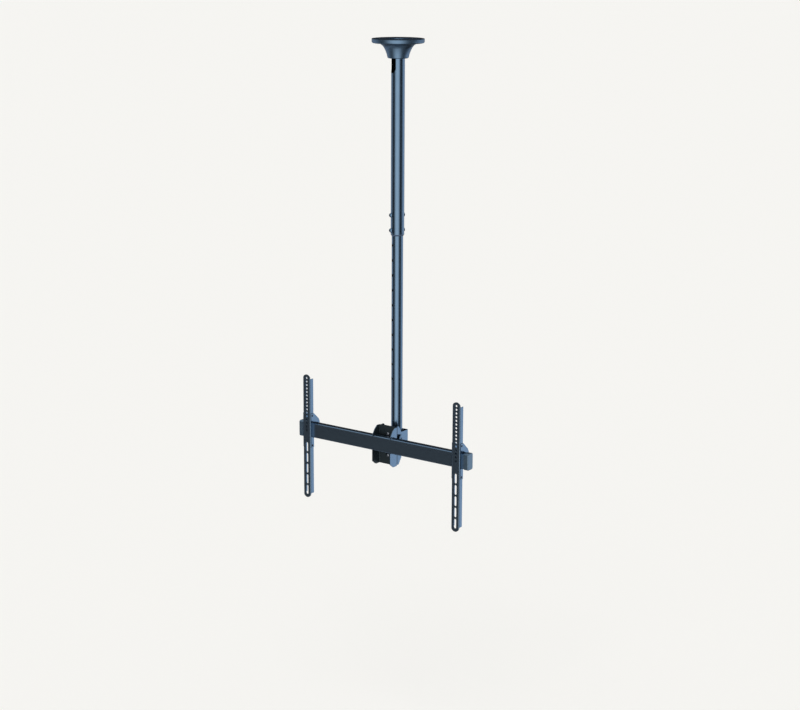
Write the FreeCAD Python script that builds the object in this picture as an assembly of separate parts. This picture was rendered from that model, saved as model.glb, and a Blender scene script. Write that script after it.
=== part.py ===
import FreeCAD, Part
import math
import os

# Telescopic ceiling mount for a flat screen. Millimetres, +Z up, the origin is
# the centre of the flange face that meets the ceiling, and the front is -Y.

# Ceiling flange, a hollow bell cast in one piece
flange_dia = 166.5
rim_height = 14.0
rim_top_round = 1.2
rim_low_round = 5.0
bell_base_dia = 126.0
bell_waist_dia = 88.0
bell_waist_depth = 29.5
bell_foot_dia = 67.5
bell_depth = 61.0
bell_foot_round = 4.0
flare_sag = 2.3
skirt_sag = 1.0
opening_dia = 72.0
seat_depth = 34.0
ceiling_bolt_inset = 3.25
ceiling_bolt_count = 4
ceiling_bolt_hole = 9.0

# Outer tube of the pole, its lower end rolled in round the inner tube
outer_dia = 43.5
outer_wall = 2.0
outer_top_depth = 24.0
outer_length = 589.0
roll_height = 10.5
roll_gap = 0.15
roll_edge = 0.9
roll_sag = 1.2
neck_gap = 0.1
ring_width = 6.0
grub_dia = 6.0
grub_length = 11.0
grub_socket_dia = 3.0
grub_socket_depth = 3.3
grub_depth = 47.0
grub_angles = (96.0, 156.0)
cable_slot_depth = 50.0
cable_slot_height = 57.0
cable_slot_width = 30.0

# Inner tube of the pole, pinned through a row of holes
inner_dia = 37.0
inner_wall = 2.0
inner_above_bolt = 40.0
pole_turn = -27.0
pole_bolt_rise = 56.5
hole_pitch = 49.0
hole_count = 12
hole_dia = 9.0
pole_bolt_count = 2
pole_bolt_dia = 8.0
pole_bolt_head_dia = 14.5
pole_bolt_head_height = 8.0
pole_bolt_tail = 0.6
pole_nut_dia = 12.5
pole_nut_height = 2.2
bush_height = 30.0
guide_ring_height = 15.0
slide_gap = 0.05

# Rail that carries the arms
rail_drop = 1302.0
rail_height = 50.0
rail_depth = 25.0
rail_wall = 2.0
rail_round = 4.0
rail_reach = 87.0
rail_length = 674.0
cap_wall = 2.0
cap_end_wall = 3.0
cap_skirt = 13.5
cap_round = 6.0
cap_edge_round = 2.1
cap_gap = 0.1

# Swivel sleeve and the yoke folded round it
sheet = 3.0
sleeve_wall = 4.9
sleeve_above = 31.0
sleeve_below = 20.0
washer_height = 2.0
end_ring_height = 8.0
end_screw_dia = 3.0
end_gap = 0.3
lock_dia = 8.0
lock_head_dia = 13.0
lock_head_height = 6.0
lock_spread = 26.0
yoke_half_width = 28.0
yoke_nose = 9.0
yoke_below = 40.0
yoke_lower_front = 31.0
yoke_heel_front = 24.0
yoke_corner = 5.4
fold_round = 4.0

# Tilt bracket behind the rail and the cradle in front of it
pivot_back = 27.0
pivot_above = 14.5
tilt_up = 5.0
tilt_down = 15.0
plate_gap = 0.5
bracket_back = 17.0
bracket_top = 55.0
bracket_bottom = 75.0
bracket_shoulder_up = 32.0
bracket_shoulder_down = 53.0
bracket_slant = 15.0
web_face = 47.0
cradle_half_width = 36.5
cheek_front_low = 62.0
cheek_slant_depth = 18.0
cheek_brow_depth = 25.0
cheek_step_depth = 12.6
cheek_step_drop = 9.9
cheek_over_rail = 1.5
pivot_bolt_dia = 8.0
pivot_head_dia = 23.0
pivot_head_height = 7.5
pivot_head_crown = 1.2
stop_drop = 36.5
stop_head_dia = 13.0
stop_head_height = 4.0
slot_play = 0.6
slot_spare_deg = 1.5
nut_flats = 13.0
nut_height = 5.0
bolt_tail = 1.5
web_bolt_up = 27.0
web_bolt_down = 43.0
web_bolt_head_dia = 14.0
web_bolt_head_height = 4.5
fit_gap = 0.05
face_gap = 0.2

# Shapes that every bolt shares
head_dome_share = 0.8
screw_head_crown = 1.0
socket_share = 0.62
socket_floor_share = 0.45
past = 2.0

# Arms that hook over the rail and carry the screen
arm_inset = 37.0
arm_width = 30.0
arm_sheet = 2.0
arm_front = 98.0
arm_return = 17.0
arm_above = 193.0
arm_below = 234.0
arm_fold_round = 2.4
arm_hole_dia = 7.0
arm_hole_pitch = 12.0
arm_hole_count = 16
arm_hole_first = 181.0
arm_slot_width = 8.4
arm_slot_length = 32.0
arm_slot_pitch = 37.5
arm_slot_count = 5
arm_slot_first = 57.0
hook_above = 59.0
hook_below = 59.0
hook_knee_out = 5.0
hook_knee_up = 10.0
hook_tooth = 12.0
hook_tooth_drop = 23.0
hook_relief = 2.4
strip_overlap = 0.5
rail_gap = 0.3
rivet_dia = 4.0
rivet_head_dia = 8.0
rivet_head_height = 1.6
rivet_tail_dia = 6.0
rivet_tail_height = 1.0
rivet_inset = 7.5
arm_lock_dia = 6.0
arm_lock_head_dia = 10.0
arm_lock_head_height = 6.0
arm_lock_drop = 17.0
arm_lock_stand = 2.0

# Places worked out from the sizes above. The ceiling bolts stand on the rim
# between the bell's base and the edge, a little inside the middle.
ceiling_bolt_circle = (flange_dia + bell_base_dia) / 2 - ceiling_bolt_inset
outer_rad = outer_dia / 2
outer_bore = outer_rad - outer_wall
inner_rad = inner_dia / 2
outer_end = outer_top_depth + outer_length
pole_bolt_depth = outer_end - pole_bolt_rise
rail_z = -rail_drop
rail_front_y = -rail_reach
rail_back_y = rail_front_y + rail_depth
rail_top = rail_z + rail_height / 2
rail_bottom = rail_z - rail_height / 2
sleeve_rad = inner_rad + slide_gap + sleeve_wall
sleeve_top = rail_z + sleeve_above
sleeve_bottom = rail_z - sleeve_below
ring_top = sleeve_bottom - washer_height - end_gap
pole_end = ring_top - end_ring_height
yoke_back = sleeve_rad + fit_gap + sheet
pivot_y = -pivot_back
pivot_z = rail_z + pivot_above
tilt_outer = yoke_half_width + plate_gap + sheet
web_back = -web_face + sheet
web_front = -web_face - sheet
arm_spread = rail_length / 2 - arm_inset


def vec(x, y, z):
    return FreeCAD.Vector(x, y, z)


def block(x0, x1, y0, y1, z0, z1):
    return Part.makeBox(x1 - x0, y1 - y0, z1 - z0, vec(x0, y0, z0))


def rod(base, direction, radius, length):
    return Part.makeCylinder(radius, length, base, direction)


def rounded_bar(x0, x1, y0, y1, z0, z1, radius, axis):
    """A block whose four edges along one axis are rounded."""
    bar = block(x0, x1, y0, y1, z0, z1)
    chosen = []
    for edge in bar.Edges:
        run = edge.Vertexes[1].Point - edge.Vertexes[0].Point
        if abs(run.normalize().dot(axis)) > 0.99:
            chosen.append(edge)
    return bar.makeFillet(radius, chosen)


def side_plate(outline, x0, x1):
    """A sheet cut to an outline of (y, z) points and spread along X."""
    points = [vec(x0, y, z) for y, z in outline]
    face = Part.Face(Part.makePolygon(points + [points[0]]))
    return face.extrude(vec(x1 - x0, 0, 0))


def softened(plate, radius, skip=()):
    """Round the corners that run along X, but for those at the skipped points."""
    chosen = []
    for edge in plate.Edges:
        start = edge.Vertexes[0].Point
        run = edge.Vertexes[-1].Point - start
        along = abs(run.x) > 0.5 and abs(run.y) + abs(run.z) < 0.001
        kept = any(abs(start.y - y) + abs(start.z - z) < 0.01 for y, z in skip)
        if along and not kept:
            chosen.append(edge)
    return plate.makeFillet(radius, chosen)


def arc(start, end, sag):
    """An arc in the XZ plane that bows to the left of its chord by sag."""
    run = end - start
    side = vec(-run.z, 0, run.x).normalize()
    return Part.Arc(start, (start + end) * 0.5 + side * sag, end).toShape()


def line(start, end):
    return Part.LineSegment(start, end).toShape()


def turned(edges):
    """Spin a closed profile in the XZ plane round the Z axis."""
    return Part.Face(Part.Wire(edges)).revolve(vec(0, 0, 0), vec(0, 0, 1), 360)


def ring(outer, inner, z0, z1):
    profile = [vec(inner, 0, z0), vec(outer, 0, z0), vec(outer, 0, z1), vec(inner, 0, z1)]
    return turned([line(profile[i - 1], profile[i]) for i in range(4)])


def aim(shape, base, direction):
    """Turn a shape built up along Z to a direction and set it at a base point."""
    placed = shape.copy()
    placed.Placement = FreeCAD.Placement(base, FreeCAD.Rotation(vec(0, 0, 1), direction))
    return placed


def hex_bar(flats, height, z0=0.0):
    corner = flats / math.sqrt(3)
    turns = [math.radians(60 * i) for i in range(7)]
    points = [vec(corner * math.cos(t), corner * math.sin(t), z0) for t in turns]
    return Part.Face(Part.makePolygon(points)).extrude(vec(0, 0, height))


def dome_arc(radius, z, height):
    """The arc of a domed top from its edge at height z up to the axis."""
    ball = (radius * radius + height * height) / (2 * height)
    half = math.asin(radius / ball) / 2
    middle = vec(ball * math.sin(half), 0, z + height - ball + ball * math.cos(half))
    return Part.Arc(vec(radius, 0, z), middle, vec(0, 0, z + height)).toShape()


def bolt(shank_dia, shank_length, head_dia, head_height, dome):
    """A socket bolt: shank below zero, a head with a domed top above it."""
    shank = shank_dia / 2
    head = head_dia / 2
    shoulder = head_height - dome
    edges = [
        line(vec(0, 0, -shank_length), vec(shank, 0, -shank_length)),
        line(vec(shank, 0, -shank_length), vec(shank, 0, 0)),
        line(vec(shank, 0, 0), vec(head, 0, 0)),
        line(vec(head, 0, 0), vec(head, 0, shoulder)),
        dome_arc(head, shoulder, dome),
        line(vec(0, 0, head_height), vec(0, 0, -shank_length)),
    ]
    socket = hex_bar(shank_dia * socket_share, head_height, head_height * socket_floor_share)
    return turned(edges).cut(socket)


def nut(flats, height, bore_dia):
    bore = rod(vec(0, 0, -past), vec(0, 0, 1), bore_dia / 2, height + 2 * past)
    return hex_bar(flats, height).cut(bore)


def long_hole(width, length, thickness):
    """A round-ended cutter, long along Z, through a sheet that faces Y."""
    half = length / 2 - width / 2
    body = block(-width / 2, width / 2, -thickness, thickness, -half, half)
    for z in (-half, half):
        body = body.fuse(rod(vec(0, -thickness, z), vec(0, 1, 0), width / 2, 2 * thickness))
    return body.removeSplitter()


def group(shapes):
    return Part.makeCompound(shapes)


def heading(degrees):
    """The level direction that many degrees from the front, turned towards +X."""
    turn = math.radians(degrees)
    return vec(math.sin(turn), -math.cos(turn), 0)


pole_front = heading(pole_turn)


def ceiling_flange():
    rim = flange_dia / 2
    base = vec(bell_base_dia / 2, 0, -rim_height)
    waist = vec(bell_waist_dia / 2, 0, -bell_waist_depth)
    foot = vec(bell_foot_dia / 2, 0, -bell_depth + bell_foot_round)
    sole = vec(bell_foot_dia / 2 - bell_foot_round, 0, -bell_depth)
    neck = outer_rad + neck_gap
    seat = outer_rad + ring_width + neck_gap
    mouth = opening_dia / 2
    top_corner = rim - rim_top_round
    top_turn = rim_top_round * math.sqrt(0.5)
    round_top = vec(top_corner + top_turn, 0, top_turn - rim_top_round)
    low_corner = rim - rim_low_round
    low_side = rim_low_round - rim_height
    low_turn = rim_low_round * math.sqrt(0.5)
    round_low = vec(low_corner + low_turn, 0, low_side - low_turn)
    foot_mid = bell_foot_round * math.sqrt(0.5)
    round_foot = vec(sole.x + foot_mid, 0, foot.z - foot_mid)
    edges = [
        line(vec(mouth, 0, 0), vec(top_corner, 0, 0)),
        Part.Arc(vec(top_corner, 0, 0), round_top, vec(rim, 0, -rim_top_round)).toShape(),
        line(vec(rim, 0, -rim_top_round), vec(rim, 0, low_side)),
        Part.Arc(vec(rim, 0, low_side), round_low, vec(low_corner, 0, -rim_height)).toShape(),
        line(vec(low_corner, 0, -rim_height), base),
        arc(base, waist, -flare_sag),
        arc(waist, foot, -skirt_sag),
        Part.Arc(foot, round_foot, sole).toShape(),
        line(sole, vec(neck, 0, -bell_depth)),
        line(vec(neck, 0, -bell_depth), vec(neck, 0, -seat_depth)),
        line(vec(neck, 0, -seat_depth), vec(seat, 0, -seat_depth)),
        line(vec(seat, 0, -seat_depth), vec(seat, 0, -outer_top_depth)),
        line(vec(seat, 0, -outer_top_depth), vec(mouth, 0, -rim_height)),
        line(vec(mouth, 0, -rim_height), vec(mouth, 0, 0)),
    ]
    bell = turned(edges)
    for i in range(ceiling_bolt_count):
        turn = math.radians(360.0 / ceiling_bolt_count * (i + 0.5))
        reach = ceiling_bolt_circle / 2
        spot = vec(reach * math.cos(turn), reach * math.sin(turn), -rim_height - past)
        bell = bell.cut(rod(spot, vec(0, 0, 1), ceiling_bolt_hole / 2, rim_height + 2 * past))
    for direction in grub_directions():
        start = vec(0, 0, -grub_depth) + direction * (outer_rad - outer_wall)
        bell = bell.cut(rod(start, direction, grub_dia / 2 + fit_gap, bell_base_dia / 2))
    return bell


def grub_directions():
    turns = [math.radians(a) for a in grub_angles]
    return [vec(math.cos(t), math.sin(t), 0) for t in turns]


def flange_grub_screws():
    screws = []
    for direction in grub_directions():
        screw = rod(vec(0, 0, 0), vec(0, 0, 1), grub_dia / 2, grub_length)
        screw = screw.cut(hex_bar(grub_socket_dia, grub_length, grub_length - grub_socket_depth))
        start = vec(0, 0, -grub_depth) + direction * (outer_rad + fit_gap)
        screws.append(aim(screw, start, direction))
    return group(screws)


def bolt_passage(z, diameter):
    """A cutter for one cross hole through the whole pole."""
    reach = outer_rad + past
    return rod(vec(0, 0, z) - pole_front * reach, pole_front, diameter / 2, 2 * reach)


def pole_bolt_heights():
    return [-pole_bolt_depth - hole_pitch * i for i in range(pole_bolt_count)]


def outer_tube():
    rolled = inner_rad + roll_gap
    top_in = vec(outer_bore, 0, -outer_top_depth)
    top_out = vec(outer_rad, 0, -outer_top_depth)
    low_in = vec(outer_bore, 0, -outer_end)
    low_out = vec(outer_rad, 0, -outer_end)
    tip_in = vec(rolled, 0, -outer_end - roll_height)
    tip_out = vec(rolled + roll_edge, 0, -outer_end - roll_height)
    edges = [
        line(top_in, top_out),
        line(top_out, low_out),
        arc(low_out, tip_out, roll_sag),
        line(tip_out, tip_in),
        line(tip_in, low_in),
        line(low_in, top_in),
    ]
    tube = turned(edges)
    slot = long_hole(cable_slot_width, cable_slot_height, outer_rad / 2)
    slot.translate(vec(0, -outer_rad, -cable_slot_depth - cable_slot_height / 2))
    slot.rotate(vec(0, 0, 0), vec(0, 0, 1), pole_turn)
    tube = tube.cut(slot)
    for z in pole_bolt_heights():
        tube = tube.cut(bolt_passage(z, pole_bolt_dia + 2 * fit_gap))
    return tube


def tube_top_ring():
    return ring(outer_rad + ring_width, outer_rad, -seat_depth, -outer_top_depth)


def guide_bush():
    bush = ring(
        outer_bore - slide_gap, inner_rad + slide_gap, -outer_end, -outer_end + bush_height
    )
    for z in pole_bolt_heights():
        bush = bush.cut(bolt_passage(z, hole_dia))
    return bush


def pole_bolts():
    length = 2 * outer_rad + pole_nut_height + pole_bolt_tail
    dome = pole_bolt_head_height * head_dome_share
    shape = bolt(pole_bolt_dia, length, pole_bolt_head_dia, pole_bolt_head_height, dome)
    places = [vec(0, 0, z) + pole_front * outer_rad for z in pole_bolt_heights()]
    return group([aim(shape, place, pole_front) for place in places])


def pole_bolt_nuts():
    bore = pole_bolt_dia / 2 + fit_gap
    shape = ring(pole_nut_dia / 2, bore, 0, pole_nut_height)
    places = [vec(0, 0, z) - pole_front * outer_rad for z in pole_bolt_heights()]
    return group([aim(shape, place, pole_front * -1) for place in places])


def inner_tube():
    top = -pole_bolt_depth + inner_above_bolt
    tube = ring(inner_rad, inner_rad - inner_wall, pole_end, top)
    for i in range(hole_count):
        tube = tube.cut(bolt_passage(-pole_bolt_depth - hole_pitch * i, hole_dia))
    for direction in end_screw_directions():
        middle = vec(0, 0, ring_top - end_ring_height / 2)
        tube = tube.cut(rod(middle, direction, end_screw_dia / 2 + fit_gap, sleeve_rad * 2))
    return tube


def top_guide_ring():
    top = -pole_bolt_depth + inner_above_bolt
    return ring(outer_bore - slide_gap, inner_rad, top - guide_ring_height, top)


def end_screw_directions():
    return [heading(90), heading(-90)]


def pole_end_ring():
    collar = ring(sleeve_rad, inner_rad, pole_end, ring_top)
    for direction in end_screw_directions():
        middle = vec(0, 0, ring_top - end_ring_height / 2)
        collar = collar.cut(rod(middle, direction, end_screw_dia / 2 + fit_gap, sleeve_rad * 2))
    return collar


def pole_end_screws():
    """Short screws that pin the end ring to the tube without crossing its bore."""
    length = sleeve_rad - inner_rad + inner_wall
    shape = rod(vec(0, 0, 0), vec(0, 0, 1), end_screw_dia / 2, length)
    screws = []
    for direction in end_screw_directions():
        start = vec(0, 0, ring_top - end_ring_height / 2) + direction * (inner_rad - inner_wall)
        screws.append(aim(shape, start, direction))
    return group(screws)


def swivel_sleeve():
    sleeve = ring(sleeve_rad, inner_rad + slide_gap, sleeve_bottom, sleeve_top)
    for z in swivel_lock_heights():
        sleeve = sleeve.cut(rod(vec(0, 0, z), vec(0, 1, 0), lock_dia / 2 + fit_gap, yoke_back))
    return sleeve


def swivel_lock_heights():
    middle = (sleeve_top + sleeve_bottom) / 2
    return [middle - lock_spread / 2, middle + lock_spread / 2]


def swivel_lock_screws():
    tip = inner_rad + 2 * fit_gap
    shape = bolt(lock_dia, yoke_back - tip, lock_head_dia, lock_head_height, screw_head_crown)
    return group([aim(shape, vec(0, yoke_back, z), vec(0, 1, 0)) for z in swivel_lock_heights()])


def bearing_washer():
    return ring(sleeve_rad, inner_rad + slide_gap, sleeve_bottom - washer_height, sleeve_bottom)


def sides():
    return (-1.0, 1.0)


def yoke_bracket():
    """A strip folded to a U round the pole, its ends cut to the pivot noses."""
    nose = pivot_y - yoke_nose
    top = sleeve_top
    low = rail_z - yoke_below
    inside = yoke_half_width - sheet
    far = nose - fold_round * 2
    outer = rounded_bar(
        -yoke_half_width, yoke_half_width, far, yoke_back, low, top, fold_round, vec(0, 0, 1)
    )
    inner = rounded_bar(
        -inside,
        inside,
        far - fold_round,
        yoke_back - sheet,
        low - past,
        top + past,
        fold_round - sheet,
        vec(0, 0, 1),
    )
    outline = [
        (yoke_back, top),
        (nose, top),
        (nose, pivot_z - yoke_nose),
        (-yoke_lower_front, pivot_z - stop_drop),
        (-yoke_heel_front, low),
        (yoke_back, low),
    ]
    plate = side_plate(outline, -yoke_half_width, yoke_half_width)
    plate = softened(plate, yoke_corner, [outline[0], outline[-1]])
    yoke = outer.cut(inner).common(plate)
    for z in (pivot_z, pivot_z - stop_drop):
        yoke = yoke.cut(cross_hole(z, pivot_bolt_dia / 2 + fit_gap))
    for z in swivel_lock_heights():
        yoke = yoke.cut(rod(vec(0, 0, z), vec(0, 1, 0), lock_dia / 2 + fit_gap, yoke_back + past))
    return yoke


def cross_hole(z, radius):
    reach = cradle_half_width + past
    return rod(vec(-reach, pivot_y, z), vec(1, 0, 0), radius, 2 * reach)


def tilt_bolt(z, head_dia, head_height, dome):
    """One bolt a side, its head outside the tilt plates, its tail in the yoke."""
    length = tilt_outer + face_gap - yoke_half_width + sheet + nut_height + bolt_tail
    shape = bolt(pivot_bolt_dia, length, head_dia, head_height, dome)
    places = [vec(side * (tilt_outer + face_gap), pivot_y, z) for side in sides()]
    return group([aim(shape, place, vec(math.copysign(1, place.x), 0, 0)) for place in places])


def tilt_bolts():
    return tilt_bolt(pivot_z, pivot_head_dia, pivot_head_height, pivot_head_crown)


def tilt_stop_bolts():
    dome = stop_head_height * head_dome_share
    return tilt_bolt(pivot_z - stop_drop, stop_head_dia, stop_head_height, dome)


def tilt_nuts():
    shape = nut(nut_flats, nut_height, pivot_bolt_dia + 2 * fit_gap)
    nuts = []
    for side in sides():
        for z in (pivot_z, pivot_z - stop_drop):
            place = vec(side * (yoke_half_width - sheet), pivot_y, z)
            nuts.append(aim(shape, place, vec(-side, 0, 0)))
    return group(nuts)


def stop_slot():
    """A cutter for the arc slots that limit the tilt, centred on the pivot."""
    width = pivot_bolt_dia / 2 + slot_play / 2
    reach = cradle_half_width
    low = math.radians(-90 - tilt_down - slot_spare_deg)
    high = math.radians(-90 + tilt_up + slot_spare_deg)
    middle = (low + high) / 2

    def spot(radius, turn, along=0.0):
        y = pivot_y + radius * math.cos(turn) - along * math.sin(turn)
        z = pivot_z + radius * math.sin(turn) + along * math.cos(turn)
        return vec(-reach, y, z)

    def curve(start, through, end):
        return Part.Arc(start, through, end).toShape()

    far = stop_drop + width
    near = stop_drop - width
    edges = [
        curve(spot(far, low), spot(far, middle), spot(far, high)),
        curve(spot(far, high), spot(stop_drop, high, width), spot(near, high)),
        curve(spot(near, high), spot(near, middle), spot(near, low)),
        curve(spot(near, low), spot(stop_drop, low, -width), spot(far, low)),
    ]
    return Part.Face(Part.Wire(edges)).extrude(vec(2 * reach, 0, 0))


def web_bolt_places():
    return [rail_z + web_bolt_up, rail_z - web_bolt_down]


def web_hole(z):
    start = vec(0, web_front - past, z)
    return rod(start, vec(0, 1, 0), pivot_bolt_dia / 2 + fit_gap, 2 * (sheet + past))


def tilt_bracket():
    """A folded bracket that opens to the rear, with the plates that tilt."""
    inside = tilt_outer - sheet
    top = rail_z + bracket_top
    low = rail_z - bracket_bottom
    far = -bracket_back + fold_round * 2
    outer = rounded_bar(-tilt_outer, tilt_outer, -web_face, far, low, top, fold_round, vec(0, 0, 1))
    inner = rounded_bar(
        -inside,
        inside,
        web_back,
        far + fold_round,
        low - past,
        top + past,
        fold_round - sheet,
        vec(0, 0, 1),
    )
    brow = -bracket_back - bracket_slant
    outline = [
        (-web_face, top),
        (brow, top),
        (-bracket_back, rail_z + bracket_shoulder_up),
        (-bracket_back, rail_z - bracket_shoulder_down),
        (brow, low),
        (-web_face, low),
    ]
    plate = side_plate(outline, -tilt_outer, tilt_outer)
    plate = softened(plate, fold_round, [outline[0], outline[-1]])
    bracket = outer.cut(inner).common(plate)
    bracket = bracket.cut(cross_hole(pivot_z, pivot_bolt_dia / 2 + fit_gap)).cut(stop_slot())
    for z in web_bolt_places():
        bracket = bracket.cut(web_hole(z))
    return bracket


def rail_cradle():
    """A folded channel that opens to the front, its cheeks notched for the rail."""
    inside = cradle_half_width - sheet
    top = rail_z + bracket_top
    low = rail_z - bracket_bottom
    far = rail_front_y - fold_round * 2
    outer = rounded_bar(
        -cradle_half_width, cradle_half_width, far, -web_face, low, top, fold_round, vec(0, 0, 1)
    )
    inner = rounded_bar(
        -inside,
        inside,
        far - fold_round,
        web_front,
        low - past,
        top + past,
        fold_round - sheet,
        vec(0, 0, 1),
    )
    outline = [
        (-web_face, top),
        (rail_front_y + cheek_brow_depth, top),
        (rail_front_y + cheek_step_depth, top - cheek_step_drop),
        (rail_front_y, rail_top + cheek_over_rail),
        (rail_front_y, rail_z - cheek_front_low),
        (rail_front_y + cheek_slant_depth, low),
        (-web_face, low),
    ]
    plate = side_plate(outline, -cradle_half_width, cradle_half_width)
    plate = softened(plate, fold_round, [outline[0], outline[3], outline[-1]])
    reach = cradle_half_width + past
    notch = rounded_bar(
        -reach, reach, rail_front_y, rail_back_y, rail_bottom, rail_top, rail_round, vec(1, 0, 0)
    )
    open_front = block(-reach, reach, far, rail_front_y + rail_round, rail_bottom, rail_top)
    cradle = outer.cut(inner).common(plate).cut(notch).cut(open_front)
    for z in web_bolt_places():
        cradle = cradle.cut(web_hole(z))
    return cradle


def bracket_bolts():
    length = 2 * sheet + nut_height + bolt_tail
    dome = web_bolt_head_height * head_dome_share
    shape = bolt(pivot_bolt_dia, length, web_bolt_head_dia, web_bolt_head_height, dome)
    return group([aim(shape, vec(0, web_front, z), vec(0, -1, 0)) for z in web_bolt_places()])


def bracket_nuts():
    shape = nut(nut_flats, nut_height, pivot_bolt_dia + 2 * fit_gap)
    return group([aim(shape, vec(0, web_back, z), vec(0, 1, 0)) for z in web_bolt_places()])


def rail_tube():
    half = rail_length / 2
    outer = rounded_bar(
        -half, half, rail_front_y, rail_back_y, rail_bottom, rail_top, rail_round, vec(1, 0, 0)
    )
    inner = rounded_bar(
        -half - past,
        half + past,
        rail_front_y + rail_wall,
        rail_back_y - rail_wall,
        rail_bottom + rail_wall,
        rail_top - rail_wall,
        rail_round - rail_wall,
        vec(1, 0, 0),
    )
    return outer.cut(inner)


def end_cap(side):
    """A moulded cap that slips over one end of the rail."""
    end = rail_length / 2
    start = end - cap_skirt
    spread = cap_wall + cap_gap
    body = rounded_bar(
        start,
        end + cap_end_wall,
        rail_front_y - spread,
        rail_back_y + spread,
        rail_bottom - spread,
        rail_top + spread,
        cap_round,
        vec(1, 0, 0),
    )
    rim = [e for e in body.Edges if min(v.X for v in e.Vertexes) > end + cap_gap]
    body = body.makeFillet(cap_edge_round, rim)
    pocket = rounded_bar(
        start - past,
        end,
        rail_front_y - cap_gap,
        rail_back_y + cap_gap,
        rail_bottom - cap_gap,
        rail_top + cap_gap,
        rail_round,
        vec(1, 0, 0),
    )
    cap = body.cut(pocket)
    if side < 0:
        cap = cap.mirror(vec(0, 0, 0), vec(1, 0, 0))
    return cap


def arm_channel(centre):
    """A pressed channel with round ends, a row of holes and a row of slots."""
    half = arm_width / 2
    top = rail_z + arm_above
    low = rail_z - arm_below
    front = -arm_front
    back = front + arm_return
    far = back + arm_return
    outer = rounded_bar(-half, half, front, far, low, top, arm_fold_round, vec(0, 0, 1))
    inner = rounded_bar(
        -half + arm_sheet,
        half - arm_sheet,
        front + arm_sheet,
        far + arm_return,
        low - past,
        top + past,
        arm_fold_round - arm_sheet,
        vec(0, 0, 1),
    )
    channel = outer.cut(inner)
    wide = half + past
    channel = channel.cut(block(-wide, wide, back, far + past, low - past, top + past))
    ends = long_hole(arm_width, arm_above + arm_below, arm_return * 2)
    ends.translate(vec(0, front, (top + low) / 2))
    channel = channel.common(ends)
    web_only = front + arm_fold_round
    for z0, z1 in ((top - half, top + past), (low - past, low + half)):
        channel = channel.cut(block(-wide, wide, web_only, back + past, z0, z1))
    channel = channel.cut(rail_passage())
    for i in range(arm_hole_count):
        z = rail_z + arm_hole_first - arm_hole_pitch * i
        spot = vec(0, front - past, z)
        channel = channel.cut(rod(spot, vec(0, 1, 0), arm_hole_dia / 2, arm_sheet + 2 * past))
    for i in range(arm_slot_count):
        slot = long_hole(arm_slot_width, arm_slot_length, arm_sheet * 2)
        slot.translate(vec(0, front, rail_z - arm_slot_first - arm_slot_pitch * i))
        channel = channel.cut(slot)
    for z in rivet_heights():
        channel = channel.cut(rivet_hole(z))
    channel.translate(vec(centre, 0, 0))
    return channel


def rail_passage():
    """The room that the rail needs where it passes behind an arm."""
    reach = arm_width
    return block(
        -reach,
        reach,
        rail_front_y - rail_gap,
        rail_back_y + rail_gap,
        rail_bottom - rail_gap,
        rail_top + rail_gap,
    )


def rivet_heights():
    return [rail_z + hook_above - rivet_inset, rail_z - hook_below + rivet_inset]


def rivet_y():
    return -arm_front + arm_return / 2


def rivet_hole(z):
    reach = arm_width
    return rod(vec(-reach, rivet_y(), z), vec(1, 0, 0), rivet_dia / 2 + fit_gap, 2 * reach)


def hook_bracket(centre):
    """Two hook plates on an arm's sides, folded from one sheet with a rear strip."""
    inside = arm_width / 2
    outside = inside + arm_sheet
    front = -arm_front + arm_fold_round
    back = -arm_front + arm_return
    tooth_back = rail_back_y + rail_gap + hook_tooth
    seat = rail_top + rail_gap
    tooth_low = seat - hook_tooth_drop
    knee_y = tooth_back - hook_knee_out
    outline = [
        (front, rail_z + hook_above),
        (back, rail_z + hook_above),
        (knee_y, seat + hook_knee_up),
        (tooth_back, seat),
        (tooth_back, tooth_low),
        (rail_back_y + rail_gap, tooth_low),
        (rail_back_y + rail_gap, seat),
        (rail_front_y + hook_relief, seat),
        (rail_front_y - rail_gap, seat - hook_relief),
        (rail_front_y - rail_gap, rail_bottom - rail_gap),
        (back, rail_bottom - rail_gap),
        (back, rail_z - hook_below),
        (front, rail_z - hook_below),
    ]
    strip_x = inside + strip_overlap
    bracket = block(-strip_x, strip_x, tooth_back - arm_sheet, tooth_back, tooth_low, seat)
    for side in sides():
        bracket = bracket.fuse(side_plate(outline, side * inside, side * outside))
    bracket = bracket.removeSplitter()
    for z in rivet_heights():
        bracket = bracket.cut(rivet_hole(z))
    place = vec(0, tooth_back - arm_sheet - past, arm_lock_height())
    hole = rod(place, vec(0, 1, 0), arm_lock_dia / 2 + fit_gap, arm_sheet + 2 * past)
    bracket = bracket.cut(hole)
    bracket.translate(vec(centre, 0, 0))
    return bracket


def arm_lock_height():
    return rail_top + rail_gap - arm_lock_drop


def arm_rivets(centre):
    """Rivets with a head outside the hook plate and a flat head in the channel."""
    grip = 2 * arm_sheet
    shape = rivet(grip)
    placed = []
    for side in sides():
        for z in rivet_heights():
            place = vec(centre + side * (arm_width / 2 + arm_sheet), rivet_y(), z)
            placed.append(aim(shape, place, vec(side, 0, 0)))
    return group(placed)


def rivet(grip):
    shank = rivet_dia / 2
    head = rivet_head_dia / 2
    tail = rivet_tail_dia / 2
    low = -grip - rivet_tail_height
    edges = [
        line(vec(0, 0, low), vec(tail, 0, low)),
        line(vec(tail, 0, low), vec(tail, 0, -grip)),
        line(vec(tail, 0, -grip), vec(shank, 0, -grip)),
        line(vec(shank, 0, -grip), vec(shank, 0, 0)),
        line(vec(shank, 0, 0), vec(head, 0, 0)),
        dome_arc(head, 0, rivet_head_height),
        line(vec(0, 0, rivet_head_height), vec(0, 0, low)),
    ]
    return turned(edges)


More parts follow.
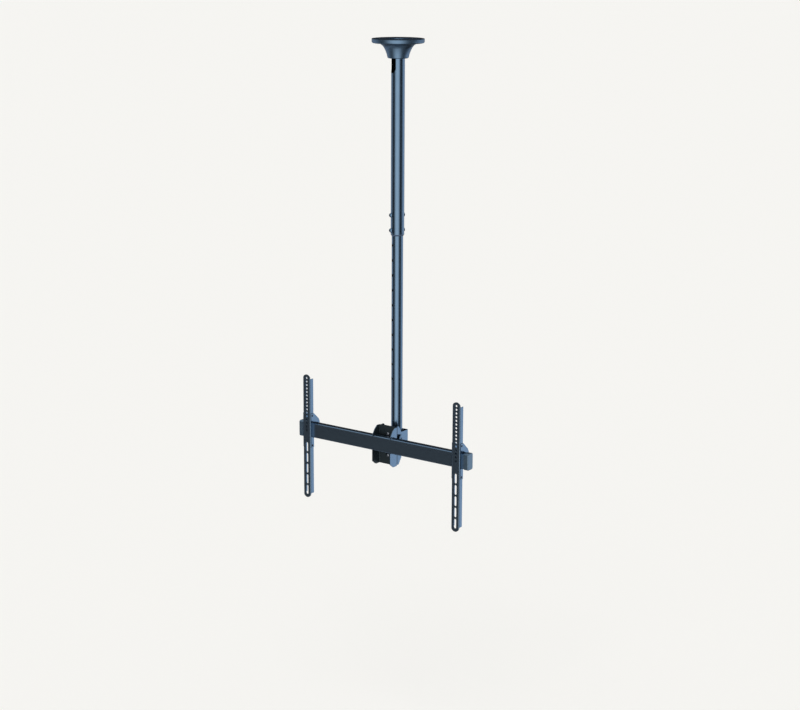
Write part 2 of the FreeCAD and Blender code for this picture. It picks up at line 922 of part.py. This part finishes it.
def arm_lock_screw(centre):
    """A screw through the rear strip that presses on the back of the rail."""
    strip_back = rail_back_y + rail_gap + hook_tooth
    length = strip_back - rail_back_y - rail_gap + arm_lock_stand
    shape = bolt(arm_lock_dia, length, arm_lock_head_dia, arm_lock_head_height, screw_head_crown)
    return aim(shape, vec(centre, strip_back + arm_lock_stand, arm_lock_height()), vec(0, 1, 0))


nodes = {
    "ceiling_flange": ceiling_flange(),
    "flange_grub_screws": flange_grub_screws(),
    "outer_tube": outer_tube(),
    "tube_top_ring": tube_top_ring(),
    "guide_bush": guide_bush(),
    "pole_bolts": pole_bolts(),
    "pole_bolt_nuts": pole_bolt_nuts(),
    "inner_tube": inner_tube(),
    "top_guide_ring": top_guide_ring(),
    "pole_end_ring": pole_end_ring(),
    "pole_end_screws": pole_end_screws(),
    "swivel_sleeve": swivel_sleeve(),
    "swivel_lock_screws": swivel_lock_screws(),
    "bearing_washer": bearing_washer(),
    "yoke_bracket": yoke_bracket(),
    "tilt_bolts": tilt_bolts(),
    "tilt_stop_bolts": tilt_stop_bolts(),
    "tilt_nuts": tilt_nuts(),
    "tilt_bracket": tilt_bracket(),
    "rail_cradle": rail_cradle(),
    "bracket_bolts": bracket_bolts(),
    "bracket_nuts": bracket_nuts(),
    "rail_tube": rail_tube(),
    "left_end_cap": end_cap(-1),
    "right_end_cap": end_cap(1),
}
for name, centre in (("left", -arm_spread), ("right", arm_spread)):
    nodes[name + "_arm_channel"] = arm_channel(centre)
    nodes[name + "_hook_bracket"] = hook_bracket(centre)
    nodes[name + "_arm_rivets"] = arm_rivets(centre)
    nodes[name + "_arm_lock_screw"] = arm_lock_screw(centre)

os.makedirs("parts", exist_ok=True)
for name, shape in nodes.items():
    shape.exportStep("parts/" + name + ".step")
    print(name, "solids", len(shape.Solids), "valid", shape.isValid(), "volume", round(shape.Volume))
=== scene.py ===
import math

import bmesh
import bpy
from mathutils import Matrix, Vector


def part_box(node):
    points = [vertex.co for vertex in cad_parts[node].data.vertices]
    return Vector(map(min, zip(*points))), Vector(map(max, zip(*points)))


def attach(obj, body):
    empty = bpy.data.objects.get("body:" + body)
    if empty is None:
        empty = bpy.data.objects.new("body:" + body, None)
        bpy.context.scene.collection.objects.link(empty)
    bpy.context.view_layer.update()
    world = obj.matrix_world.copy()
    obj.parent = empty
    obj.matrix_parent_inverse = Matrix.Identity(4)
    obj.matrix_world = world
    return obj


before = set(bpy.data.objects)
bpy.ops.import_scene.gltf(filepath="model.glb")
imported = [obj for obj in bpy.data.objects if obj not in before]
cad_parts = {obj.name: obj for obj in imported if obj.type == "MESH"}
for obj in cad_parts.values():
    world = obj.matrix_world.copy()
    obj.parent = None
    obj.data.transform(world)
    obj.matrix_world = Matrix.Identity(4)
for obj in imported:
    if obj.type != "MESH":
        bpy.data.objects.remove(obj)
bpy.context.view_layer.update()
print("frame loaded:", len(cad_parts), "CAD nodes")


def addNode(tree, kind, place, **settings):
    node = tree.nodes.new(kind)
    node.location = place
    for name, value in settings.items():
        setattr(node, name, value)
    return node


def newGroup(name, inputs, outputs):
    tree = bpy.data.node_groups.new(name, "ShaderNodeTree")
    for label, kind, value in inputs:
        socket = tree.interface.new_socket(label, in_out="INPUT", socket_type=kind)
        if value is not None:
            socket.default_value = value
    for label, kind in outputs:
        tree.interface.new_socket(label, in_out="OUTPUT", socket_type=kind)
    start = addNode(tree, "NodeGroupInput", (-900, 0))
    end = addNode(tree, "NodeGroupOutput", (700, 0))
    return tree, start, end


# Fine grain of a sprayed or moulded skin, with broad, faint changes in tone and gloss
skin = {
    "fineDetail": 2.0,
    "broadDetail": 4.0,
    "broadRoughness": 0.6,
    "broadShare": 0.75,
    "toneFrom": 0.3,
    "toneTo": 0.7,
}
grainGroup, grainIn, grainOut = newGroup(
    "skinGrain",
    [
        ("Vector", "NodeSocketVector", None),
        ("Grain Size", "NodeSocketFloat", 0.0008),
        ("Mottle Size", "NodeSocketFloat", 0.06),
        ("Gloss Low", "NodeSocketFloat", 0.25),
        ("Gloss High", "NodeSocketFloat", 0.35),
    ],
    [
        ("Tone", "NodeSocketFloat"),
        ("Roughness", "NodeSocketFloat"),
        ("Height", "NodeSocketFloat"),
    ],
)
links = grainGroup.links
# a noise's scale is one over the size of its spots
fineScale = addNode(grainGroup, "ShaderNodeMath", (-680, 160), operation="DIVIDE")
fineScale.inputs[0].default_value = 1.0
broadScale = addNode(grainGroup, "ShaderNodeMath", (-680, -160), operation="DIVIDE")
broadScale.inputs[0].default_value = 1.0
fine = addNode(grainGroup, "ShaderNodeTexNoise", (-440, 160))
fine.inputs["Detail"].default_value = skin["fineDetail"]
broad = addNode(grainGroup, "ShaderNodeTexNoise", (-440, -160))
broad.inputs["Detail"].default_value = skin["broadDetail"]
broad.inputs["Roughness"].default_value = skin["broadRoughness"]
blendTone = addNode(grainGroup, "ShaderNodeMix", (-180, 60), data_type="FLOAT")
blendTone.inputs["Factor"].default_value = skin["broadShare"]
spread = addNode(grainGroup, "ShaderNodeMapRange", (40, 60), interpolation_type="SMOOTHSTEP")
spread.inputs["From Min"].default_value = skin["toneFrom"]
spread.inputs["From Max"].default_value = skin["toneTo"]
gloss = addNode(grainGroup, "ShaderNodeMapRange", (280, -80))
links.new(grainIn.outputs["Grain Size"], fineScale.inputs[1])
links.new(grainIn.outputs["Mottle Size"], broadScale.inputs[1])
for texture, scale in ((fine, fineScale), (broad, broadScale)):
    links.new(grainIn.outputs["Vector"], texture.inputs["Vector"])
    links.new(scale.outputs[0], texture.inputs["Scale"])
links.new(fine.outputs["Fac"], blendTone.inputs["A"])
links.new(broad.outputs["Fac"], blendTone.inputs["B"])
links.new(blendTone.outputs["Result"], spread.inputs["Value"])
links.new(spread.outputs["Result"], gloss.inputs["Value"])
links.new(grainIn.outputs["Gloss Low"], gloss.inputs["To Min"])
links.new(grainIn.outputs["Gloss High"], gloss.inputs["To Max"])
links.new(spread.outputs["Result"], grainOut.inputs["Tone"])
links.new(gloss.outputs["Result"], grainOut.inputs["Roughness"])
links.new(fine.outputs["Fac"], grainOut.inputs["Height"])
print("shader group made: skinGrain")

# Masks the inside of a hollow piece above a floor: a bore round the Z axis, or with Round
# at 0 a channel that X crosses. A floor far below every piece leaves the whole inside.
farBelow = -10.0
insideGroup, insideIn, insideOut = newGroup(
    "insideMask",
    [
        ("Vector", "NodeSocketVector", None),
        ("Limit", "NodeSocketFloat", 0.02),
        ("Round", "NodeSocketFloat", 1.0),
        ("Floor", "NodeSocketFloat", farBelow),
        ("Softness", "NodeSocketFloat", 0.0001),
    ],
    [("Mask", "NodeSocketFloat")],
)
links = insideGroup.links
parts = addNode(insideGroup, "ShaderNodeSeparateXYZ", (-700, 80))
acrossSquared = addNode(insideGroup, "ShaderNodeMath", (-500, 180), operation="MULTIPLY")
depthSquared = addNode(insideGroup, "ShaderNodeMath", (-500, 0), operation="MULTIPLY")
depthShare = addNode(insideGroup, "ShaderNodeMath", (-320, 0), operation="MULTIPLY")
bothSquared = addNode(insideGroup, "ShaderNodeMath", (-140, 100), operation="ADD")
reach = addNode(insideGroup, "ShaderNodeMath", (40, 100), operation="SQRT")
nearSide = addNode(insideGroup, "ShaderNodeMath", (40, -80), operation="SUBTRACT")
farSide = addNode(insideGroup, "ShaderNodeMath", (40, -260), operation="ADD")
within = addNode(insideGroup, "ShaderNodeMapRange", (300, 60), interpolation_type="SMOOTHSTEP")
within.inputs["To Min"].default_value = 1.0
within.inputs["To Max"].default_value = 0.0
aboveFloor = addNode(insideGroup, "ShaderNodeMath", (300, -200), operation="GREATER_THAN")
covered = addNode(insideGroup, "ShaderNodeMath", (500, 0), operation="MULTIPLY")
links.new(insideIn.outputs["Vector"], parts.inputs[0])
for side, product in (("X", acrossSquared), ("Y", depthSquared)):
    links.new(parts.outputs[side], product.inputs[0])
    links.new(parts.outputs[side], product.inputs[1])
links.new(depthSquared.outputs[0], depthShare.inputs[0])
links.new(insideIn.outputs["Round"], depthShare.inputs[1])
links.new(acrossSquared.outputs[0], bothSquared.inputs[0])
links.new(depthShare.outputs[0], bothSquared.inputs[1])
links.new(bothSquared.outputs[0], reach.inputs[0])
for total in (nearSide, farSide):
    links.new(insideIn.outputs["Limit"], total.inputs[0])
    links.new(insideIn.outputs["Softness"], total.inputs[1])
links.new(reach.outputs[0], within.inputs["Value"])
links.new(nearSide.outputs[0], within.inputs["From Min"])
links.new(farSide.outputs[0], within.inputs["From Max"])
links.new(parts.outputs["Z"], aboveFloor.inputs[0])
links.new(insideIn.outputs["Floor"], aboveFloor.inputs[1])
links.new(within.outputs["Result"], covered.inputs[0])
links.new(aboveFloor.outputs[0], covered.inputs[1])
links.new(covered.outputs[0], insideOut.inputs["Mask"])
print("shader group made: insideMask")

# Masks what lies beyond a level along a direction, with a soft edge
beyondGroup, beyondIn, beyondOut = newGroup(
    "beyondMask",
    [
        ("Vector", "NodeSocketVector", None),
        ("Direction", "NodeSocketVector", (0.0, 0.0, 1.0)),
        ("Start", "NodeSocketFloat", 0.0),
        ("End", "NodeSocketFloat", 0.001),
    ],
    [("Mask", "NodeSocketFloat")],
)
links = beyondGroup.links
level = addNode(beyondGroup, "ShaderNodeVectorMath", (-500, 0), operation="DOT_PRODUCT")
beyond = addNode(beyondGroup, "ShaderNodeMapRange", (0, 0), interpolation_type="SMOOTHSTEP")
links.new(beyondIn.outputs["Vector"], level.inputs[0])
links.new(beyondIn.outputs["Direction"], level.inputs[1])
links.new(level.outputs["Value"], beyond.inputs["Value"])
links.new(beyondIn.outputs["Start"], beyond.inputs["From Min"])
links.new(beyondIn.outputs["End"], beyond.inputs["From Max"])
links.new(beyond.outputs["Result"], beyondOut.inputs["Mask"])
print("shader group made: beyondMask")


# A Principled finish on the grain. Each cover lays its own values over it where its mask is.
def makeFinish(name, look, covers=()):
    material = bpy.data.materials.new(name)
    material.use_nodes = True
    tree = material.node_tree
    shader = tree.nodes["Principled BSDF"]
    shader.inputs["Metallic"].default_value = look["metallic"]
    place = addNode(tree, "ShaderNodeTexCoord", (-1000, 0))
    grain = addNode(tree, "ShaderNodeGroup", (-760, 0), node_tree=grainGroup)
    grain.inputs["Grain Size"].default_value = look["grainSize"]
    grain.inputs["Mottle Size"].default_value = look["mottleSize"]
    grain.inputs["Gloss Low"].default_value = look["glossLow"]
    grain.inputs["Gloss High"].default_value = look["glossHigh"]
    colour = addNode(tree, "ShaderNodeMix", (-480, 160), data_type="RGBA")
    colour.inputs["A"].default_value = (*look["darkTone"], 1)
    colour.inputs["B"].default_value = (*look["lightTone"], 1)
    bump = addNode(tree, "ShaderNodeBump", (-240, -240))
    bump.inputs["Strength"].default_value = look["bumpStrength"]
    bump.inputs["Distance"].default_value = look["bumpDepth"]
    tree.links.new(place.outputs["Object"], grain.inputs["Vector"])
    tree.links.new(grain.outputs["Tone"], colour.inputs["Factor"])
    tree.links.new(grain.outputs["Height"], bump.inputs["Height"])
    tree.links.new(bump.outputs["Normal"], shader.inputs["Normal"])
    sources = {
        "Base Color": colour.outputs["Result"],
        "Roughness": grain.outputs["Roughness"],
    }
    for cover in covers:
        mask = addNode(tree, "ShaderNodeGroup", (-760, -300), node_tree=cover["group"])
        for label, value in cover["inputs"].items():
            mask.inputs[label].default_value = value
        tree.links.new(place.outputs["Object"], mask.inputs["Vector"])
        for socket, value in cover["values"].items():
            kind = "RGBA" if socket == "Base Color" else "FLOAT"
            blend = addNode(tree, "ShaderNodeMix", (-240, 160), data_type=kind)
            blend.inputs["B"].default_value = value
            if socket in sources:
                tree.links.new(sources[socket], blend.inputs["A"])
            else:
                blend.inputs["A"].default_value = shader.inputs[socket].default_value
            tree.links.new(mask.outputs["Mask"], blend.inputs["Factor"])
            sources[socket] = blend.outputs["Result"]
    for socket, source in sources.items():
        tree.links.new(source, shader.inputs[socket])
    return material


slatePaint = {
    "darkTone": (0.150, 0.240, 0.352),
    "lightTone": (0.162, 0.258, 0.376),
    "metallic": 0.97,
    "grainSize": 0.0009,
    "mottleSize": 0.05,
    "glossLow": 0.19,
    "glossHigh": 0.23,
    "bumpStrength": 0.02,
    "bumpDepth": 0.00003,
}
castPaint = {
    "darkTone": (0.146, 0.236, 0.350),
    "lightTone": (0.162, 0.260, 0.380),
    "metallic": 0.985,
    "grainSize": 0.0016,
    "mottleSize": 0.03,
    "glossLow": 0.38,
    "glossHigh": 0.43,
    "bumpStrength": 0.06,
    "bumpDepth": 0.0001,
}
darkSteel = {
    "darkTone": (0.060, 0.080, 0.105),
    "lightTone": (0.095, 0.120, 0.150),
    "metallic": 0.95,
    "grainSize": 0.0006,
    "mottleSize": 0.012,
    "glossLow": 0.22,
    "glossHigh": 0.34,
    "bumpStrength": 0.15,
    "bumpDepth": 0.00006,
}
zincSteel = {
    "darkTone": (0.15, 0.17, 0.20),
    "lightTone": (0.21, 0.23, 0.26),
    "metallic": 1.0,
    "grainSize": 0.0005,
    "mottleSize": 0.008,
    "glossLow": 0.16,
    "glossHigh": 0.26,
    "bumpStrength": 0.12,
    "bumpDepth": 0.00005,
}
capPlastic = {
    "darkTone": (0.158, 0.244, 0.335),
    "lightTone": (0.174, 0.264, 0.360),
    "metallic": 0.86,
    "grainSize": 0.0006,
    "mottleSize": 0.03,
    "glossLow": 0.34,
    "glossHigh": 0.40,
    "bumpStrength": 0.10,
    "bumpDepth": 0.00006,
}
mouldedPlastic = {
    "darkTone": (0.020, 0.024, 0.030),
    "lightTone": (0.028, 0.033, 0.041),
    "metallic": 0.0,
    "grainSize": 0.0007,
    "mottleSize": 0.03,
    "glossLow": 0.38,
    "glossHigh": 0.50,
    "bumpStrength": 0.35,
    "bumpDepth": 0.0001,
}
paintFinish = makeFinish("slatePaint", slatePaint)
steelFinish = makeFinish("darkSteel", darkSteel)
zincFinish = makeFinish("zincSteel", zincSteel)
capFinish = makeFinish("capPlastic", capPlastic)
plasticFinish = makeFinish("mouldedPlastic", mouldedPlastic)

# Painted shade: bores, the cradle's channel, the sides of the tilt bolts' heads and the
# bracket where it steps behind the cradle's cheeks are darker and duller in colour, and so is
# the rolled
# edge of the outer tube. Painted light: the fronts of the rail and the arms are greyer and
# lighter.
# The flange's flat top is painted near black and matt as shade. Limits and levels are in
# metres from the frame's origin.
forward = (0.0, -1.0, 0.0)
downward = (0.0, 0.0, -1.0)
# Painted shade: a near-black, dull colour for the insides of bores and hollows
paintedBoreShade = {"Base Color": (0.012, 0.016, 0.021, 1), "Roughness": 0.55}
# Painted light: a lighter, greyer, less metallic colour on the front faces of the rail and the
# arms
paintedFrontLight = {"Base Color": (0.155, 0.216, 0.288, 1), "Roughness": 0.28, "Metallic": 0.90}
armFrontPaintedLight = (
    {
        "group": beyondGroup,
        "inputs": {"Direction": forward, "Start": 0.0972, "End": 0.0978},
        "values": paintedFrontLight,
    },
)
covers = {
    "outer_tube": (
        {
            "group": insideGroup,
            "inputs": {"Limit": 0.0215, "Floor": -0.6128},
            "values": paintedBoreShade,
        },
        # Painted shade: the rolled lower edge of the outer tube is darkened in colour
        {
            "group": beyondGroup,
            "inputs": {"Direction": downward, "Start": 0.6178, "End": 0.6190},
            "values": {
                "Base Color": (0.062, 0.100, 0.170, 1),
                "Roughness": 0.6,
                "Metallic": 0.25,
            },
        },
    ),
    "inner_tube": (
        {"group": insideGroup, "inputs": {"Limit": 0.0183}, "values": paintedBoreShade},
    ),
    # Painted shade: the inside of the cradle's channel is darkened in colour
    "rail_cradle": (
        {
            "group": insideGroup,
            "inputs": {"Limit": 0.0350, "Round": 0.0},
            "values": {"Base Color": (0.075, 0.098, 0.112, 1), "Roughness": 0.50},
        },
    ),
    # Painted shade: the sides of the tilt bolts' heads are darkened in colour
    "tilt_bolts": (
        {
            "group": insideGroup,
            "inputs": {"Limit": 0.0379, "Round": 0.0},
            "values": {"Base Color": (0.020, 0.027, 0.038, 1), "Roughness": 0.45},
        },
    ),
    "rail_tube": (
        {
            "group": beyondGroup,
            "inputs": {"Direction": forward, "Start": 0.0862, "End": 0.0868},
            "values": paintedFrontLight,
        },
    ),
    "left_arm_channel": armFrontPaintedLight,
    "right_arm_channel": armFrontPaintedLight,
    # Painted shade: a dark band on the bracket where it steps behind the cradle's cheeks
    "tilt_bracket": (
        {
            "group": beyondGroup,
            "inputs": {"Direction": forward, "Start": 0.0380, "End": 0.0425},
            "values": {"Base Color": (0.034, 0.050, 0.070, 1), "Roughness": 0.50},
        },
    ),
    # Painted shade: the flange's flat top is near black, matt and almost without reflection
    "ceiling_flange": (
        {
            "group": beyondGroup,
            "inputs": {"Start": -0.0012, "End": -0.0009},
            "values": {
                "Base Color": (0.012, 0.020, 0.032, 1),
                "Roughness": 0.90,
                "Metallic": 0.0,
                "Specular IOR Level": 0.03,
            },
        },
    ),
}
steelNodes = ("bolts", "nuts", "screw", "screws", "rivets", "washer")
plasticNodes = ("bush", "guide_ring")
paintedBolts = ("pole_bolts", "pole_bolt_nuts", "tilt_bolts")
for name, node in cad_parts.items():
    material = paintFinish
    if name.endswith(steelNodes) and name not in paintedBolts:
        material = steelFinish
    if name.endswith(plasticNodes):
        material = plasticFinish
    if name.endswith("end_cap"):
        material = capFinish
    if name == "bracket_bolts":
        material = zincFinish
    if name in covers:
        look = castPaint if name == "ceiling_flange" else slatePaint
        material = makeFinish(name + "Paint", look, covers[name])
    for holder in node.material_slots:
        holder.material = material
print("finishes laid on the CAD nodes")


studio = {
    "floorDrop": -2.4,
    "floorReach": 120.0,
    "floorSides": 96,
    "floorTone": (0.905, 0.898, 0.870),
    "backdropTone": (0.917, 0.910, 0.8825),
    "skyTone": (1.0, 1.0, 1.0),
    "skyLight": 0.86,
    "keyLight": 0.62,
    "keyHeight": 52.0,
    "keyTurn": 20.0,
    "keySoftness": 35.0,
    # what the gloss mirrors: turn from the front in degrees, brightness, and warmth
    "mirrorBands": (
        (-180, 0.56, -1.0),
        (-130, 0.46, -1.0),
        (-100, 0.50, -1.0),
        (-82, 0.58, -1.0),
        (-66, 0.36, -0.6),
        (-54, 0.07, 0.0),
        (-40, 0.02, 0.0),
        (-26, 0.03, 0.0),
        (-16, 0.18, 0.0),
        (-6, 0.85, 0.2),
        (10, 1.30, 0.4),
        (28, 1.38, 0.5),
        (46, 1.30, 0.3),
        (58, 0.92, 0.0),
        (68, 0.26, 0.0),
        (80, 0.01, 0.0),
        (98, 0.01, -0.4),
        (110, 0.16, -0.8),
        (126, 0.55, -1.0),
        (142, 1.08, -1.0),
        (158, 0.90, -1.0),
        (180, 0.56, -1.0),
    ),
    "warmShift": (0.06, 0.0, -0.10),
    "mirrorPeak": 2.0,
    "overhead": 0.38,
    "underneath": 0.12,
    "shadedBack": 0.010,
}

floorMesh = bpy.data.meshes.new("studioFloor")
bm = bmesh.new()
bmesh.ops.create_circle(
    bm, cap_ends=True, segments=studio["floorSides"], radius=studio["floorReach"]
)
bmesh.ops.translate(bm, verts=bm.verts, vec=(0, 0, studio["floorDrop"]))
bm.to_mesh(floorMesh)
bm.free()
studioFloor = bpy.data.objects.new("studioFloor", floorMesh)
bpy.context.scene.collection.objects.link(studioFloor)
floorPaper = bpy.data.materials.new("floorPaper")
floorPaper.use_nodes = True
floorShader = floorPaper.node_tree.nodes["Principled BSDF"]
floorShader.inputs["Base Color"].default_value = (*studio["floorTone"], 1)
floorShader.inputs["Roughness"].default_value = 1.0
floorShader.inputs["Specular IOR Level"].default_value = 0.0
floorMesh.materials.append(floorPaper)
studioFloor.visible_glossy = False

world = bpy.data.worlds.new("studioWorld")
bpy.context.scene.world = world
world.use_nodes = True
tree = world.node_tree
tree.nodes.clear()
direction = addNode(tree, "ShaderNodeTexCoord", (-1400, 0))
axes = addNode(tree, "ShaderNodeSeparateXYZ", (-1200, 0))
flip = addNode(tree, "ShaderNodeMath", (-1020, -120), operation="MULTIPLY")
flip.inputs[1].default_value = -1.0
turn = addNode(tree, "ShaderNodeMath", (-840, 0), operation="ARCTAN2")
share = addNode(tree, "ShaderNodeMapRange", (-660, 0))
share.inputs["From Min"].default_value = -math.pi
share.inputs["From Max"].default_value = math.pi
bands = addNode(tree, "ShaderNodeValToRGB", (-460, 0))
bands.color_ramp.interpolation = "B_SPLINE"
stops = bands.color_ramp.elements
while len(stops) < len(studio["mirrorBands"]):
    stops.new(0.5)
for stop, (angle, bright, warmth) in zip(stops, studio["mirrorBands"]):
    stop.position = (angle + 180) / 360
    strength = bright / studio["mirrorPeak"]
    stop.color = (*[strength * (1 + warmth * shift) for shift in studio["warmShift"]], 1)
# where the soft edges of the mirrored room start and end: heights of the direction seen, and
# for the shaded back its depth
softEdges = {
    "rise": (0.45, 0.75),
    "fall": (-0.75, -1.0),
    "above": (-0.03, 0.05),
    "below": (-0.38, -0.62),
    "behind": (-0.1, 0.4),
}
ramps = {}
for row, (name, (fromMin, fromMax)) in enumerate(softEdges.items()):
    ramps[name] = addNode(
        tree, "ShaderNodeMapRange", (-460, -260 - 260 * row), interpolation_type="SMOOTHSTEP"
    )
    ramps[name].inputs["From Min"].default_value = fromMin
    ramps[name].inputs["From Max"].default_value = fromMax
    side = "Y" if name == "behind" else "Z"
    tree.links.new(axes.outputs[side], ramps[name].inputs["Value"])
offLevel = addNode(tree, "ShaderNodeMath", (-260, 400), operation="MAXIMUM")
backMask = addNode(tree, "ShaderNodeMath", (-160, 400), operation="MULTIPLY")
shaded = addNode(tree, "ShaderNodeMix", (-260, 140), data_type="RGBA")
withTop = addNode(tree, "ShaderNodeMix", (-60, -60), data_type="RGBA")
withFloor = addNode(tree, "ShaderNodeMix", (40, -160), data_type="RGBA")
for blend, name in ((shaded, "shadedBack"), (withTop, "overhead"), (withFloor, "underneath")):
    blend.inputs["B"].default_value = (studio[name], studio[name], studio[name], 1)
mirrored = addNode(tree, "ShaderNodeBackground", (240, -160))
mirrored.inputs["Strength"].default_value = studio["mirrorPeak"]
backdrop = addNode(tree, "ShaderNodeBackground", (240, 40))
backdrop.inputs["Color"].default_value = (*studio["backdropTone"], 1)
sky = addNode(tree, "ShaderNodeBackground", (240, 240))
sky.inputs["Color"].default_value = (*studio["skyTone"], 1)
sky.inputs["Strength"].default_value = studio["skyLight"]
ray = addNode(tree, "ShaderNodeLightPath", (240, 640))
toCamera = addNode(tree, "ShaderNodeMixShader", (480, 160))
toGloss = addNode(tree, "ShaderNodeMixShader", (700, 40))
out = addNode(tree, "ShaderNodeOutputWorld", (900, 40))
tree.links.new(direction.outputs["Generated"], axes.inputs[0])
tree.links.new(axes.outputs["Y"], flip.inputs[0])
tree.links.new(axes.outputs["X"], turn.inputs[0])
tree.links.new(flip.outputs[0], turn.inputs[1])
tree.links.new(turn.outputs[0], share.inputs["Value"])
tree.links.new(share.outputs["Result"], bands.inputs["Fac"])
tree.links.new(ramps["above"].outputs["Result"], offLevel.inputs[0])
tree.links.new(ramps["below"].outputs["Result"], offLevel.inputs[1])
tree.links.new(offLevel.outputs[0], backMask.inputs[0])
tree.links.new(ramps["behind"].outputs["Result"], backMask.inputs[1])
tree.links.new(backMask.outputs[0], shaded.inputs["Factor"])
tree.links.new(bands.outputs["Color"], shaded.inputs["A"])
tree.links.new(ramps["rise"].outputs["Result"], withTop.inputs["Factor"])
tree.links.new(shaded.outputs["Result"], withTop.inputs["A"])
tree.links.new(ramps["fall"].outputs["Result"], withFloor.inputs["Factor"])
tree.links.new(withTop.outputs["Result"], withFloor.inputs["A"])
tree.links.new(withFloor.outputs["Result"], mirrored.inputs["Color"])
tree.links.new(ray.outputs["Is Camera Ray"], toCamera.inputs["Fac"])
tree.links.new(sky.outputs[0], toCamera.inputs[1])
tree.links.new(backdrop.outputs[0], toCamera.inputs[2])
tree.links.new(ray.outputs["Is Glossy Ray"], toGloss.inputs["Fac"])
tree.links.new(toCamera.outputs[0], toGloss.inputs[1])
tree.links.new(mirrored.outputs[0], toGloss.inputs[2])
tree.links.new(toGloss.outputs[0], out.inputs["Surface"])

keyData = bpy.data.lights.new("keyLight", "SUN")
keyData.energy = studio["keyLight"]
keyData.angle = math.radians(studio["keySoftness"])
keyLight = bpy.data.objects.new("keyLight", keyData)
bpy.context.scene.collection.objects.link(keyLight)
keyLight.rotation_euler = (
    math.radians(90 - studio["keyHeight"]),
    0,
    math.radians(studio["keyTurn"]),
)
keyLight.visible_glossy = False
bpy.context.scene.view_settings.view_transform = "Standard"
print("studio made")

# Fillet welds with the ripple of the torch: the rail in its cradle, the sleeve in its yoke
welds = {
    "radius": 0.0017,
    "sides": 10,
    "fewestSteps": 4,
    "ripple": 0.14,
    "pitch": 0.0011,
    "railInset": 0.0045,
    "cheekOut": 0.0365,
    "sleeveReach": 0.0125,
    "sleeveDrop": 0.0004,
}


def weldBead(bm, start, end):
    run = Vector(end) - Vector(start)
    count = max(welds["fewestSteps"], round(run.length / welds["pitch"]))
    made = bmesh.ops.create_circle(
        bm, cap_ends=False, segments=welds["sides"], radius=welds["radius"]
    )
    turn = Vector((0, 0, 1)).rotation_difference(run).to_matrix()
    bmesh.ops.rotate(bm, verts=made["verts"], matrix=turn)
    bmesh.ops.translate(bm, verts=made["verts"], vec=start)
    ends = [list(dict.fromkeys(e for v in made["verts"] for e in v.link_edges))]
    edges = ends[0]
    swell = 1 + welds["ripple"]
    for i in range(count):
        grown = bmesh.ops.extrude_edge_only(bm, edges=edges)["geom"]
        verts = [g for g in grown if isinstance(g, bmesh.types.BMVert)]
        edges = [g for g in grown if isinstance(g, bmesh.types.BMEdge)]
        bmesh.ops.translate(bm, verts=verts, vec=run / count)
        middle = Vector(start) + run * (i + 1) / count
        size = swell if i % 2 == 0 else 1 / swell
        bmesh.ops.scale(
            bm, vec=(size, size, size), verts=verts, space=Matrix.Translation(-middle)
        )
    ends.append(edges)
    bmesh.ops.holes_fill(bm, edges=[e for side in ends for e in side], sides=0)


def weldPiece(name, runs, body):
    bm = bmesh.new()
    for start, end in runs:
        weldBead(bm, start, end)
    bmesh.ops.recalc_face_normals(bm, faces=bm.faces)
    for face in bm.faces:
        face.smooth = True
    mesh = bpy.data.meshes.new(name)
    bm.to_mesh(mesh)
    bm.free()
    mesh.materials.append(paintFinish)
    piece = bpy.data.objects.new(name, mesh)
    bpy.context.scene.collection.objects.link(piece)
    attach(piece, body)


railLow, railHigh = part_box("rail_tube")
railRuns = []
for side in (-1, 1):
    for level in (railLow[2], railHigh[2]):
        across = side * welds["cheekOut"]
        railRuns.append(
            (
                (across, railLow[1] + welds["railInset"], level),
                (across, railHigh[1] - welds["railInset"], level),
            )
        )
weldPiece("railWelds", railRuns, "carriage")
sleeveLow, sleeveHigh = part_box("swivel_sleeve")
sleeveRuns = []
for level in (sleeveLow[2] + welds["sleeveDrop"], sleeveHigh[2] - welds["sleeveDrop"]):
    sleeveRuns.append(
        (
            (-welds["sleeveReach"], sleeveHigh[1] - welds["radius"], level),
            (welds["sleeveReach"], sleeveHigh[1] - welds["radius"], level),
        )
    )
weldPiece("sleeveWelds", sleeveRuns, "head")
print("welds laid")

viewpoint = {
    "place": (3.2831, -4.5803, 0.3421),
    "azimuth": 35.533,
    "pitch": 13.57,
    "roll": 0.238,
    "lens": 80.01,
    "sensor": 36.0,
    "farClip": 400.0,
}
cameraData = bpy.data.cameras.new("studioCamera")
cameraData.lens = viewpoint["lens"]
cameraData.sensor_width = viewpoint["sensor"]
cameraData.clip_end = viewpoint["farClip"]
camera = bpy.data.objects.new("studioCamera", cameraData)
bpy.context.scene.collection.objects.link(camera)
heading = Matrix.Rotation(math.radians(viewpoint["azimuth"]), 4, "Z")
tilt = Matrix.Rotation(math.radians(90 - viewpoint["pitch"]), 4, "X")
lean = Matrix.Rotation(math.radians(viewpoint["roll"]), 4, "Z")
camera.matrix_world = Matrix.Translation(viewpoint["place"]) @ heading @ tilt @ lean
bpy.context.scene.camera = camera
print("camera set")
